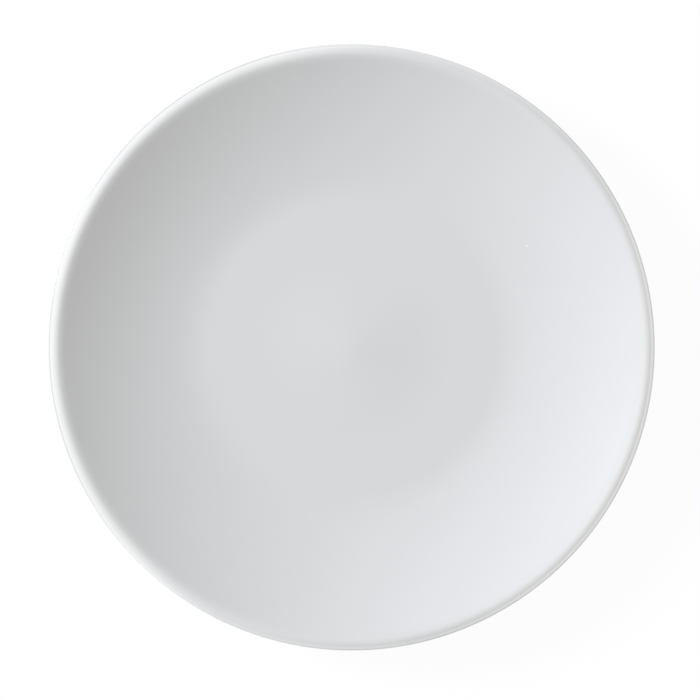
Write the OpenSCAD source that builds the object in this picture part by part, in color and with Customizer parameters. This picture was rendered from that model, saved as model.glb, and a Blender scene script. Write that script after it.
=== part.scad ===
// Coupe dinner plate: a one-piece porcelain body, round about its axis, under a coat of glaze.
// The glaze stops short of the foot ring's standing face, so it is two separate skins: one over
// the face, the rim and the back, and one over the base inside the foot ring.
// Sizes are those of the glazed plate. The origin is the centre of the standing face, +Z up.

/* [Plate] */
// Overall diameter, over the nose of the rim
plate_d = 270; // [250:1:310]
// Overall height, from the table to the crest of the rim
plate_h = 27; // [23:0.5:40]

/* [Well] */
// Diameter of the well's floor, out to where the wall starts to lift
well_d = 131; // [124:1:160]
// Thickness of the floor
floor_t = 5; // [4:0.1:7]
// Diameter of the slight crown in the middle of the floor
crown_d = 99; // [60:1:120]
// Slope of the crown's side, in degrees
crown_angle = 3.1; // [1:0.1:4.5]
// Radius of the crown's round tip
crown_tip_r = 130; // [60:5:260]
// Radius of the crown's hollow skirt, which runs out into the floor
crown_skirt_r = 400; // [200:10:600]

/* [Wall] */
// Radius of the bend from the floor into the wall
bend_r = 80; // [50:1:100]
// Slope at which the bend hands over to the wall, in degrees
bend_angle = 9.3; // [6:0.1:12]

/* [Rim] */
// Radius of the shoulder, where the wall eases over towards the crest
shoulder_r = 17; // [8:0.5:24]
// Slope at which the shoulder hands over to the crest, in degrees
shoulder_angle = 19; // [8:1:24]
// Radius of the roll over the rim's crest
crest_r = 4.5; // [2.5:0.1:6]
// Slope outwards at which the crest hands over to the hollow outside it, in degrees
fall_angle = 18; // [14:1:24]
// Radius of the slight hollow outside the crest, which eases the slope towards the edge
hollow_r = 8.8; // [5:0.1:14]
// Slope outwards at which the hollow hands over to the nose, in degrees
nose_angle = 10; // [4:1:13]
// Radius of the rim's nose, the outermost edge
nose_r = 1.2; // [1:0.1:2]

/* [Foot ring] */
// Outer diameter of the foot ring
foot_d = 150; // [130:1:170]
// Width of the foot ring
foot_w = 4.8; // [4:0.1:8]
// Depth of the base inside the foot ring, up from the table
foot_depth = 3.4; // [2.9:0.1:5]
// Radius on the two edges of the standing face
foot_edge_r = 1; // [0.4:0.1:1.1]
// Radius of the fillet between the foot ring and the back
foot_root_r = 1.6; // [0.6:0.1:1.8]
// Radius of the fillet between the foot ring and the base
base_root_r = 1.3; // [0.5:0.1:1.4]

/* [Glaze] */
// Thickness of the fired glaze
glaze_t = 0.3; // [0.1:0.05:0.4]
// Height of the bare band that is wiped clean above the table
bare_h = 1.15; // [1.1:0.05:1.2]

/* [Hidden] */

// Finest detail of the curves: how far a chord may lie from its arc, and the steps of a full turn
arc_error = 0.004;
turn_steps = 240;

// The angle of a line straight down; all angles are in degrees from level
down = -90;

// The level part of the floor, and the crown on it: a hollow skirt that meets the floor level, a
// straight side that both arcs touch, and a round tip on the axis
well_z = foot_depth + floor_t;
crown_skirt = [crown_d / 2, well_z + crown_skirt_r];
crown_apart = (crown_tip_r + crown_skirt_r - crown_skirt.x * sin(crown_angle)) / cos(crown_angle);
crown_tip = [0, crown_skirt.y - crown_apart];

// The rim, one arc after another: the crest reaches the overall height and the nose the overall
// diameter, with the hollow between them and the shoulder inside the crest
crest_to_hollow = (crest_r + hollow_r) * unit(-down - fall_angle);
nose_to_hollow = (nose_r + hollow_r) * unit(-down - nose_angle);
crest = [plate_d / 2 - nose_r + nose_to_hollow.x - crest_to_hollow.x, plate_h - crest_r];
hollow = crest + crest_to_hollow;
nose = hollow - nose_to_hollow;
shoulder = crest + (crest_r - shoulder_r) * unit(-down + shoulder_angle);

// The bend, whose two faces share a centre, and the wall's face and back, which leave it at the
// same slope and run on to meet the shoulder and the nose
bend = [well_d / 2, well_z + bend_r];
under_bend_r = bend_r + floor_t;
bend_out = unit(down + bend_angle);
bend_end = bend + bend_r * bend_out;
under_bend_end = bend + under_bend_r * bend_out;

wall_r = meeting_radius(bend_end, -bend_out, shoulder, shoulder_r);
wall = bend_end - wall_r * bend_out;
rim_angle = slope_to(wall, shoulder);

back_r = meeting_radius(under_bend_end, -bend_out, nose, -nose_r);
back = under_bend_end - back_r * bend_out;
back_angle = slope_to(back, nose);

// The fillet at the root of the foot ring touches the underside of the floor, the bend or the back,
// whichever lies over it
foot_r = foot_d / 2;
foot_inner_r = foot_r - foot_w;
root_x = foot_r + foot_root_r;
root_on_bend = asin(max(0, root_x - bend.x) / (under_bend_r + foot_root_r));
root_on_back = asin((root_x - back.x) / (back_r + foot_root_r));
root_meets_bend = root_on_bend <= bend_angle;
root_angle = root_meets_bend ? root_on_bend : root_on_back;
root_z = root_meets_bend
    ? bend.y - (under_bend_r + foot_root_r) * cos(root_angle)
    : back.y - (back_r + foot_root_r) * cos(root_angle);
root = [root_x, root_z];
base_root = [foot_inner_r - base_root_r, foot_depth - base_root_r];

function unit(angle) = [cos(angle), sin(angle)];

// Slope, in degrees from level, of an arc about one point where the line to another crosses it
function slope_to(from, to) = atan2(to.x - from.x, from.y - to.y);

// Radius of the arc that leaves a point with its centre along a normal, and meets a circle smoothly:
// from outside, or from around it where the circle's radius is given as negative
function meeting_radius(point, normal, centre, radius) =
    let (apart = point - centre)
    (apart * apart - radius * radius) / (2 * (radius - apart * normal));

// Points along an arc, both ends included. The steps follow the glazed radius, so that the skins of
// one arc, grown or shrunk from it, run in step
function arc(centre, radius, from, to, grow = 0) =
    let (steps = max(1, ceil(abs(to - from) / (2 * acos(1 - arc_error / radius)))))
    [for (i = [0 : steps]) centre + (radius + grow) * unit(from + (to - from) * i / steps)];

function reversed(points) = [for (i = [len(points) - 1 : -1 : 0]) points[i]];

// The surface from the middle of the face over the rim and along the back to the foot ring's root,
// at a depth under the glaze: hollow arcs grow with the depth and round ones shrink
function face_and_back(depth) = concat(
    arc(crown_tip, crown_tip_r, -down, -down - crown_angle, -depth),
    arc(crown_skirt, crown_skirt_r, down - crown_angle, down, depth),
    arc(bend, bend_r, down, down + bend_angle, depth),
    arc(wall, wall_r, down + bend_angle, down + rim_angle, depth),
    arc(shoulder, shoulder_r, rim_angle - down, shoulder_angle - down, -depth),
    arc(crest, crest_r, shoulder_angle - down, -down - fall_angle, -depth),
    arc(hollow, hollow_r, down - fall_angle, down - nose_angle, depth),
    arc(nose, nose_r, -down - nose_angle, down + back_angle, -depth),
    arc(back, back_r, down + back_angle, down + max(bend_angle, root_angle), -depth),
    root_meets_bend ? arc(bend, under_bend_r, down + bend_angle, down + root_angle, -depth) : [],
    arc(root, foot_root_r, root_angle - down, 2 * -down, depth)
);

// The surface inside the foot ring, from its inner wall to the middle of the base
function base(depth) = concat(
    arc(base_root, base_root_r, 0, -down, depth),
    [[0, foot_depth + depth]]
);

// The bare end of the foot ring, outer edge to inner edge across the standing face
function standing_face() = concat(
    arc([foot_r - glaze_t - foot_edge_r, foot_edge_r], foot_edge_r, 0, down),
    arc([foot_inner_r + glaze_t + foot_edge_r, foot_edge_r], foot_edge_r, down, 2 * down)
);

module turned(outline) {
    rotate_extrude($fn = turn_steps) polygon(outline);
}

// The fired porcelain, with its foot ring, all in one piece
module porcelain_body() {
    color("#efebe2")
    turned(concat(face_and_back(glaze_t), standing_face(), base(glaze_t)));
}

// The glaze over the face, the rim and the back, ending in a rounded bead on the foot ring
module outer_glaze() {
    bead = arc([foot_r - glaze_t, bare_h + glaze_t], glaze_t, 0, down);
    color("#eceef0")
    turned(concat(face_and_back(0), bead, reversed(face_and_back(glaze_t))));
}

// The glaze over the base, ending in the same bead inside the foot ring
module base_glaze() {
    bead = arc([foot_inner_r + glaze_t, bare_h + glaze_t], glaze_t, down, 2 * down);
    color("#eceef0")
    turned(concat(base(0), reversed(base(glaze_t)), bead));
}

porcelain_body();
outer_glaze();
base_glaze();
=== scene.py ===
import math

import bmesh
import bpy
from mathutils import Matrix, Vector, noise


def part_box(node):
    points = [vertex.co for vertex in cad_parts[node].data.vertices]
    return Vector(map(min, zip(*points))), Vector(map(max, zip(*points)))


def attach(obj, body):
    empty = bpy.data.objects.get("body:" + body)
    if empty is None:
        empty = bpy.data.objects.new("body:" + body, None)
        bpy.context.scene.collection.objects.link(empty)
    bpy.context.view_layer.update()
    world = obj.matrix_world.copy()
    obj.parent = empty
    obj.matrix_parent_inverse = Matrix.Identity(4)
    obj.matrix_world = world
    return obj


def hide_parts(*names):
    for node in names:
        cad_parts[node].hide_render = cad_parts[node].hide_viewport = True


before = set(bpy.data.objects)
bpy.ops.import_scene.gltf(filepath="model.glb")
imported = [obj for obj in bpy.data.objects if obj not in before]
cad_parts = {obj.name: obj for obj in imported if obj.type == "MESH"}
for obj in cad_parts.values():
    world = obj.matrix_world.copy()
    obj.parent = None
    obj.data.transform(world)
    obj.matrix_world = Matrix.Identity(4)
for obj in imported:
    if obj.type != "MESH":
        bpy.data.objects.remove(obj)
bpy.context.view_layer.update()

# Porcelain body
# One piece of white fired clay, pressed on a mould and turned to its outline by a template, foot ring
# and all. Only the foot ring's end shows: it is wiped bare of glaze so that it can't stick in the kiln.
mm = 0.001
outer_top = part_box("outer_glaze")[1]
body_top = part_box("porcelain_body")[1]
base_low, base_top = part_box("base_glaze")
plate_r = outer_top.x
plate_h = outer_top.z
glaze_t = outer_top.x - body_top.x
foot_inner_r = base_top.x - glaze_t
foot_depth = base_top.z - glaze_t
bare_h = base_low.z

floor_t = 5 * mm
well_r = 65.5 * mm
crown_r = 49.5 * mm
crown_angle = math.radians(3.1)
crown_tip_r = 130 * mm
crown_skirt_r = 400 * mm
bend_r = 80 * mm
bend_angle = math.radians(9.3)
shoulder_r = 17 * mm
shoulder_angle = math.radians(19)
crest_r = 4.5 * mm
fall_angle = math.radians(18)
hollow_r = 8.8 * mm
nose_angle = math.radians(10)
nose_r = 1.2 * mm
foot_w = 4.8 * mm
foot_edge_r = 1 * mm
foot_root_r = 1.6 * mm
base_root_r = 1.3 * mm
turn_steps = 192
tip_steps = 6
side_steps = 4
skirt_steps = 10
floor_steps = 3
foot_edge_steps = 8
foot_steps = 4
foot_wall_steps = 3
base_root_steps = 6
base_steps = 12
sharp_corner = math.radians(50)
quarter = math.pi / 2


def put(name, data):
    """A new object in the scene, at the origin."""
    made = bpy.data.objects.new(name, data)
    bpy.context.scene.collection.objects.link(made)
    return made


def ray(angle):
    """A unit step at an angle from level, in the upright plane that the template lies in."""
    return Vector((math.cos(angle), 0, math.sin(angle)))


def point(x, z):
    return Vector((x, 0, z))


def slope_to(start, end):
    """The slope, from level, of an arc about one point where the line to another crosses it."""
    return math.atan2(end.x - start.x, start.z - end.z)


def meeting_radius(start, inward, centre, radius):
    """The radius of an arc that leaves a point with its centre along inward and runs smoothly into a
    circle: from outside it, or from around it where the circle's radius is given as negative."""
    apart = start - centre
    return (apart.dot(apart) - radius * radius) / (2 * (radius - apart.dot(inward)))


class Template:
    """The edge of the template that a plate is turned with, drawn stroke by stroke from the axis."""

    def __init__(self, start):
        self.mesh = bmesh.new()
        self.end = self.mesh.verts.new(start)

    def line_to(self, target, steps):
        start = self.end.co.copy()
        for step in range(steps):
            made = bmesh.ops.extrude_vert_indiv(self.mesh, verts=[self.end])
            self.end = made["verts"][0]
            self.end.co = start.lerp(target, (step + 1) / steps)

    def arc(self, centre, turn, steps):
        made = bmesh.ops.spin(
            self.mesh, geom=[self.end], cent=centre, axis=(0, -1, 0), angle=turn, steps=steps)
        self.end = made["geom_last"][0]

    def arcs(self, strokes):
        for centre, turn, steps in strokes:
            self.arc(centre, turn, steps)

    def arcs_back(self, strokes):
        for centre, turn, steps in reversed(strokes):
            self.arc(centre, -turn, steps)

    def turned(self, name):
        """The ware that the template turns: a closed mesh, smooth but for its sharp corners."""
        bmesh.ops.spin(
            self.mesh, geom=self.mesh.verts[:] + self.mesh.edges[:], cent=(0, 0, 0), axis=(0, 0, 1),
            angle=math.tau, steps=turn_steps, use_merge=True)
        bmesh.ops.remove_doubles(self.mesh, verts=self.mesh.verts, dist=glaze_t / 100)
        bmesh.ops.recalc_face_normals(self.mesh, faces=self.mesh.faces)
        for face in self.mesh.faces:
            face.smooth = True
        made = bpy.data.meshes.new(name)
        self.mesh.to_mesh(made)
        self.mesh.free()
        made.set_sharp_from_angle(angle=sharp_corner)
        return put(name, made)


well_z = foot_depth + floor_t
crown_up = ray(quarter - crown_angle)
crown_skirt = point(crown_r, well_z + crown_skirt_r)
crown_apart = (crown_tip_r + crown_skirt_r - crown_r * crown_up.x) / crown_up.z
crown_tip = point(0, crown_skirt.z - crown_apart)

crest_to_hollow = (crest_r + hollow_r) * ray(quarter - fall_angle)
nose_to_hollow = (nose_r + hollow_r) * ray(quarter - nose_angle)
crest = point(plate_r - nose_r + nose_to_hollow.x - crest_to_hollow.x, plate_h - crest_r)
hollow = crest + crest_to_hollow
nose = hollow - nose_to_hollow
shoulder = crest + (crest_r - shoulder_r) * ray(quarter + shoulder_angle)

bend = point(well_r, well_z + bend_r)
bend_out = ray(bend_angle - quarter)
bend_end = bend + bend_r * bend_out
under_bend_r = bend_r + floor_t
under_bend_end = bend + under_bend_r * bend_out
wall = bend_end - meeting_radius(bend_end, -bend_out, shoulder, shoulder_r) * bend_out
back = under_bend_end - meeting_radius(under_bend_end, -bend_out, nose, -nose_r) * bend_out
rim_angle = slope_to(wall, shoulder)
back_angle = slope_to(back, nose)

foot_r = foot_inner_r + foot_w
root_x = foot_r + foot_root_r
root_angle = math.asin((root_x - well_r) / (under_bend_r + foot_root_r))
root = point(root_x, bend.z - (under_bend_r + foot_root_r) * math.cos(root_angle))
base_root = point(foot_inner_r - base_root_r, foot_depth - base_root_r)

wall_arcs = [
    (bend, bend_angle, 10),
    (wall, rim_angle - bend_angle, 24),
    (shoulder, shoulder_angle - rim_angle, 8),
    (crest, -shoulder_angle - fall_angle, 12),
    (hollow, fall_angle - nose_angle, 4),
    (nose, nose_angle + back_angle - math.pi, 24),
    (back, bend_angle - back_angle, 22),
    (bend, root_angle - bend_angle, 4),
    (root, quarter - root_angle, 8),
]


def draw_out(template, depth):
    """Draws the surface from the axis over the rim and along the back to the foot ring, with that depth
    of glaze over it."""
    template.arc(crown_tip, -crown_angle, tip_steps)
    template.line_to(crown_skirt - (crown_skirt_r + depth) * crown_up, side_steps)
    template.arc(crown_skirt, crown_angle, skirt_steps)
    template.line_to(point(well_r, well_z - depth), floor_steps)
    template.arcs(wall_arcs)


def draw_home(template, depth):
    """Draws the same surface the other way, from the foot ring to the axis."""
    template.arcs_back(wall_arcs)
    template.line_to(point(crown_r, well_z - depth), floor_steps)
    template.arc(crown_skirt, -crown_angle, skirt_steps)
    template.line_to(crown_tip + (crown_tip_r - depth) * crown_up, side_steps)
    template.arc(crown_tip, crown_angle, tip_steps)


clay = Template(point(0, crown_tip.z + crown_tip_r - glaze_t))
draw_out(clay, glaze_t)
clay.line_to(point(foot_r - glaze_t, foot_edge_r), foot_wall_steps)
clay.arc(point(foot_r - glaze_t - foot_edge_r, foot_edge_r), -quarter, foot_edge_steps)
clay.line_to(point(foot_inner_r + glaze_t + foot_edge_r, 0), foot_steps)
clay.arc(point(foot_inner_r + glaze_t + foot_edge_r, foot_edge_r), -quarter, foot_edge_steps)
clay.line_to(point(foot_inner_r + glaze_t, base_root.z), foot_wall_steps)
clay.arc(base_root, quarter, base_root_steps)
clay.line_to(point(0, foot_depth + glaze_t), base_steps)
body = clay.turned("fired_body")


class Tone:
    """One value or colour in a finish; sums and products of tones add the Math nodes for them."""

    def __init__(self, finish, socket):
        self.finish = finish
        self.socket = socket

    def maths(self, operation, *terms):
        return self.finish.node("ShaderNodeMath", {"operation": operation}, dict(enumerate(terms)))

    def __add__(self, other):
        return self.maths("ADD", self, other)

    def __radd__(self, other):
        return self.maths("ADD", other, self)

    def __sub__(self, other):
        return self.maths("SUBTRACT", self, other)

    def __rsub__(self, other):
        return self.maths("SUBTRACT", other, self)

    def __mul__(self, other):
        return self.maths("MULTIPLY", self, other)

    def __rmul__(self, other):
        return self.maths("MULTIPLY", other, self)

    def __pow__(self, other):
        return self.maths("POWER", self, other)

    def __abs__(self):
        return self.maths("ABSOLUTE", self)

    def between(self, low, high):
        """0 at low, 1 at high, and smooth in between; low may be the larger of the two."""
        return self.finish.node(
            "ShaderNodeMapRange", {"interpolation_type": "SMOOTHSTEP"},
            {"Value": self, "From Min": low, "From Max": high})


class Finish:
    """The nodes of one finish, added one by one."""

    def __init__(self, tree):
        self.tree = tree
        tree.nodes.clear()

    def node(self, kind, settings, sockets, out=0):
        made = self.tree.nodes.new(kind)
        for key, value in settings.items():
            setattr(made, key, value)
        for key, value in sockets.items():
            if isinstance(value, Tone):
                self.tree.links.new(value.socket, made.inputs[key])
            else:
                made.inputs[key].default_value = value
        return Tone(self, made.outputs[out]) if made.outputs else None

    def place(self):
        """Where a point lies on the piece, in metres."""
        return self.node("ShaderNodeTexCoord", {}, {}, "Object")

    def along(self, axis, place):
        """How far that place lies along X, Y or Z."""
        return self.node("ShaderNodeSeparateXYZ", {}, {"Vector": place}, axis)

    def grain(self, place, size, detail):
        """A cloudy pattern, from 0 to 1, of that size in metres."""
        return self.node("ShaderNodeTexNoise", {}, {"Vector": place, "Scale": 1 / size, "Detail": detail})

    def blend(self, share, first, second):
        """A mix of two colours, which a Mix node takes at sockets 6 and 7 and gives at socket 2."""
        return self.node(
            "ShaderNodeMix", {"data_type": "RGBA"}, {"Factor": share, 6: first, 7: second}, 2)

    def bump(self, height, distance):
        return self.node("ShaderNodeBump", {}, {"Height": height, "Distance": distance})


def new_finish(name):
    made = bpy.data.materials.new(name)
    made.use_nodes = True
    return made, Finish(made.node_tree)


grit_size = 0.25 * mm
grit_depth = 0.04 * mm
smudge_size = 9 * mm
smudge_from = 0.35
smudge_full = 0.7
worn_h = 0.35 * mm
worn_share = 0.4
clay_rough = 0.9
worn_smooth = 0.25
clay_shade = (0.79, 0.76, 0.705, 1)
clay_light = (0.87, 0.845, 0.8, 1)
clay_worn = (0.6, 0.585, 0.555, 1)

biscuit, finish = new_finish("bare_biscuit")
place = finish.place()
grit = finish.grain(place, grit_size, detail=3)
smudge = finish.grain(place, smudge_size, detail=4)
worn = finish.along("Z", place).between(worn_h, 0) * smudge.between(smudge_from, smudge_full)
clean_clay = finish.blend(grit, clay_shade, clay_light)
finish.node("ShaderNodeOutputMaterial", {}, {"Surface": finish.node("ShaderNodeBsdfPrincipled", {}, {
    "Base Color": finish.blend(worn_share * worn, clean_clay, clay_worn),
    "Roughness": clay_rough - worn_smooth * worn,
    "Normal": finish.bump(grit, grit_depth),
})})
body.data.materials.append(biscuit)
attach(body, "root")
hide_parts("porcelain_body")

# Outer glaze
# The coat of glass over the face, the rim and the back, dipped on one half after the other and melted in
# the glaze firing. It runs thin over the lip, and ends on the foot ring in a bead, uneven from the sponge.
wipe_depth = 0.16 * mm
wipe_waves = 2.4
ripples_a_wave = 3.1
ripple_share = 0.5
coat_wall_steps = 2
bead_steps = 6


def sponge_wave(x, y):
    """How far the sponge strayed up or down at a place round the foot ring."""
    along = Vector((x, y, 0)).normalized() * wipe_waves
    return wipe_depth * (noise.noise(along) + ripple_share * noise.noise(along * ripples_a_wave))


def wipe(ware, top):
    """Makes the lower edge of a coat uneven, less and less up to where the coat runs level again."""
    for vertex in ware.data.vertices:
        share = (top - vertex.co.z) / (top - bare_h)
        if share > 0 and vertex.co.xy.length < foot_r + foot_root_r:
            vertex.co.z += sponge_wave(vertex.co.x, vertex.co.y) * min(share, 1)


coat = Template(point(0, crown_tip.z + crown_tip_r))
draw_out(coat, 0)
coat.line_to(point(foot_r, bare_h + glaze_t), coat_wall_steps)
coat.arc(point(foot_r - glaze_t, bare_h + glaze_t), -quarter, bead_steps)
coat.line_to(point(foot_r - glaze_t, root.z), coat_wall_steps)
draw_home(coat, glaze_t)
outer_coat = coat.turned("outer_coat")
wipe(outer_coat, root.z)

cloud_size = 45 * mm
peel_size = 4 * mm
peel_depth = 0.004 * mm
polish_size = 14 * mm
glaze_rough = 0.12
rough_spread = 0.08
glaze_ior = 1.5
glaze_shade = (0.725, 0.725, 0.727, 1)
glaze_light = (0.74, 0.74, 0.742, 1)

# Over the lip the colour grows lighter, most of all on the edge. This is partly the white clay showing
# through where the glaze runs thin, and partly painted light.
# A band across the plate, at right angles to the lamp's direction, keeps the lip less light there, which
# is painted shade
lip_w = 7.5 * mm
lip_fade = 6.1 * mm
lip_white_and_painted_light = (0.85, 0.84, 0.825, 1)
edge_w = 2.3 * mm
edge_fade = 1.1 * mm
edge_white_and_painted_light = (0.93, 0.92, 0.905, 1)
# Painted shade: a band across the plate, at right angles to the lamp's direction, where the lip is painted
# less light
band_turn = math.radians(-17.6)
band_off = 29 * mm
band_half_w = 45 * mm
band_fade = 55 * mm
in_band_share = 0.25

# Painted shade: a grey line on top of the lip's edge, on the side of the plate toward the lamp
edge_shade_w = 1 * mm
edge_shade_below = 0.1 * mm
edge_shade_above = 0.2 * mm
edge_shade_share = 0.58
edge_shade_grey = (0.42, 0.42, 0.41, 1)
lit_side_at = (-120 * mm, 56 * mm)
lit_side_r = 95 * mm
lit_side_fade = 80 * mm

# Painted highlight: one small light spot on the wall, standing in for the glint of a pinhole in the glaze
glint_at = (79.1 * mm, 45.8 * mm)
glint_r = 0.4 * mm
glint_fade = 0.3 * mm
glint_white = (0.82, 0.82, 0.82, 1)

glaze, finish = new_finish("white_glaze")
place = finish.place()
x, y, z = (finish.along(axis, place) for axis in "XYZ")


def away_from(spot):
    """The distance in plan from a spot on the plate."""
    return ((x - spot[0]) ** 2 + (y - spot[1]) ** 2) ** 0.5


cloud = finish.grain(place, cloud_size, detail=2)
peel = finish.grain(place, peel_size, detail=1)
polish = finish.grain(place, polish_size, detail=3)
from_axis = away_from((0, 0))
from_band = abs(math.cos(band_turn) * x + math.sin(band_turn) * y - band_off)
# Painted shade: the lip's lightening is weakened inside the band across the plate, at right angles to the
# lamp's direction
outside_shade_band = in_band_share + (1 - in_band_share) * from_band.between(band_half_w, band_half_w + band_fade)
# Lighter lip and edge: partly thin glaze over the white clay, partly painted light
thin_and_painted_light = outside_shade_band * from_axis.between(plate_r - lip_w, plate_r - lip_w + lip_fade)
edge = outside_shade_band * from_axis.between(plate_r - edge_w, plate_r - edge_w + edge_fade)
lip_top = z.between(nose.z - edge_shade_below, nose.z + edge_shade_above)
# Painted shade: the grey line on the lip's edge, kept to the side toward the lamp
lit_side = away_from(lit_side_at).between(lit_side_r + lit_side_fade, lit_side_r)
painted_edge_shade = from_axis.between(plate_r - edge_shade_w, plate_r - edge_shade_w / 2) * lip_top * lit_side
# Painted highlight: a small light spot for the glint of a pinhole
pinhole_glint = away_from(glint_at).between(glint_r + glint_fade, glint_r)

white = finish.blend(cloud, glaze_shade, glaze_light)
# Painted highlight: the pinhole's glint
with_glint = finish.blend(pinhole_glint, white, glint_white)
# Partly thin glaze, partly painted light, over the lip and its edge
over_lip = finish.blend(thin_and_painted_light, with_glint, lip_white_and_painted_light)
over_edge = finish.blend(edge, over_lip, edge_white_and_painted_light)
finish.node("ShaderNodeOutputMaterial", {}, {"Surface": finish.node("ShaderNodeBsdfPrincipled", {}, {
    # Painted shade: the grey line on the lip's edge
    "Base Color": finish.blend(edge_shade_share * painted_edge_shade, over_edge, edge_shade_grey),
    "Roughness": glaze_rough + rough_spread * polish,
    "IOR": glaze_ior,
    "Normal": finish.bump(peel, peel_depth),
})})
outer_coat.data.materials.append(glaze)
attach(outer_coat, "root")
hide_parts("outer_glaze")

# Base glaze
# The same glass over the base inside the foot ring, cut off from the outer coat by the bare foot.
# It ends in the same uneven bead, on the foot ring's inner wall.
pool = Template(point(0, foot_depth))
pool.line_to(point(base_root.x, foot_depth), base_steps)
pool.arc(base_root, -quarter, base_root_steps)
pool.line_to(point(foot_inner_r, bare_h + glaze_t), coat_wall_steps)
pool.arc(point(foot_inner_r + glaze_t, bare_h + glaze_t), quarter, bead_steps)
pool.line_to(point(foot_inner_r + glaze_t, base_root.z), coat_wall_steps)
pool.arc(base_root, quarter, base_root_steps)
pool.line_to(point(0, foot_depth + glaze_t), base_steps)
base_coat = pool.turned("base_coat")
wipe(base_coat, base_root.z)
base_coat.data.materials.append(glaze)
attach(base_coat, "root")
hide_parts("base_glaze")

# Camera
# It looks straight down on the plate, with the plate as large in the frame and as far off the middle as
# in the photograph.
frame_px = 700
plate_px = 303.1
right_of_middle_px = 1.62
above_middle_px = 2.63
lens = 100
sensor = 36
px = plate_r / plate_px
camera_data = bpy.data.cameras.new("camera")
camera_data.lens = lens
camera_data.sensor_width = sensor
camera = put("camera", camera_data)
camera.location = (
    -right_of_middle_px * px, -above_middle_px * px, nose.z + frame_px * px * lens / sensor)
bpy.context.scene.camera = camera

# Floor and light
# A white studio floor, one large soft lamp to the left of the plate and behind it, and pale surroundings
# that fill the shadows.
floor_r = 40
floor_grey = (0.9, 0.9, 0.9, 1)
floor_glow = 1.013
glow_share = 0.93
white_light = (1, 1, 1, 1)
floor_mesh = bmesh.new()
bmesh.ops.create_circle(floor_mesh, cap_ends=True, radius=floor_r, segments=64)
floor_data = bpy.data.meshes.new("floor")
floor_mesh.to_mesh(floor_data)
floor_mesh.free()
floor = put("floor", floor_data)


def seen(finish):
    """1 where the camera sees a surface, straight or in a mirror or glass, and 0 where it only lights
    other surfaces."""
    straight, mirrored, through = (
        finish.node("ShaderNodeLightPath", {}, {}, ray_kind)
        for ray_kind in ("Is Camera Ray", "Is Glossy Ray", "Is Transmission Ray"))
    return straight.maths("MAXIMUM", straight.maths("MAXIMUM", straight, mirrored), through)


paper, finish = new_finish("white_paper")
finish.node("ShaderNodeOutputMaterial", {}, {"Surface": finish.node("ShaderNodeMixShader", {}, {
    0: glow_share * seen(finish),
    1: finish.node("ShaderNodeBsdfDiffuse", {}, {"Color": floor_grey}),
    2: finish.node("ShaderNodeEmission", {}, {"Color": white_light, "Strength": floor_glow}),
})})
floor.data.materials.append(paper)

lamp_side = math.radians(158)
lamp_height = math.radians(28)
lamp_width = math.radians(16)
lamp_strength = 0.735 * math.pi
lamp_light = (0.966, 1, 1.083)
lamp_data = bpy.data.lights.new("key", "SUN")
lamp_data.angle = lamp_width
lamp_data.energy = lamp_strength
lamp_data.color = lamp_light
lamp = put("key", lamp_data)
lamp.rotation_euler = (quarter - lamp_height, 0, quarter + lamp_side)

room_light = (0.993, 1, 0.98, 1)
room_strength = 0.57
room = bpy.data.worlds.new("studio")
room.use_nodes = True
bpy.context.scene.world = room
finish = Finish(room.node_tree)
finish.node("ShaderNodeOutputWorld", {}, {"Surface": finish.node("ShaderNodeMixShader", {}, {
    0: seen(finish),
    1: finish.node("ShaderNodeBackground", {}, {"Color": room_light, "Strength": room_strength}),
    2: finish.node("ShaderNodeBackground", {}, {"Color": white_light, "Strength": 1}),
})})
bpy.context.scene.view_settings.view_transform = "Standard"
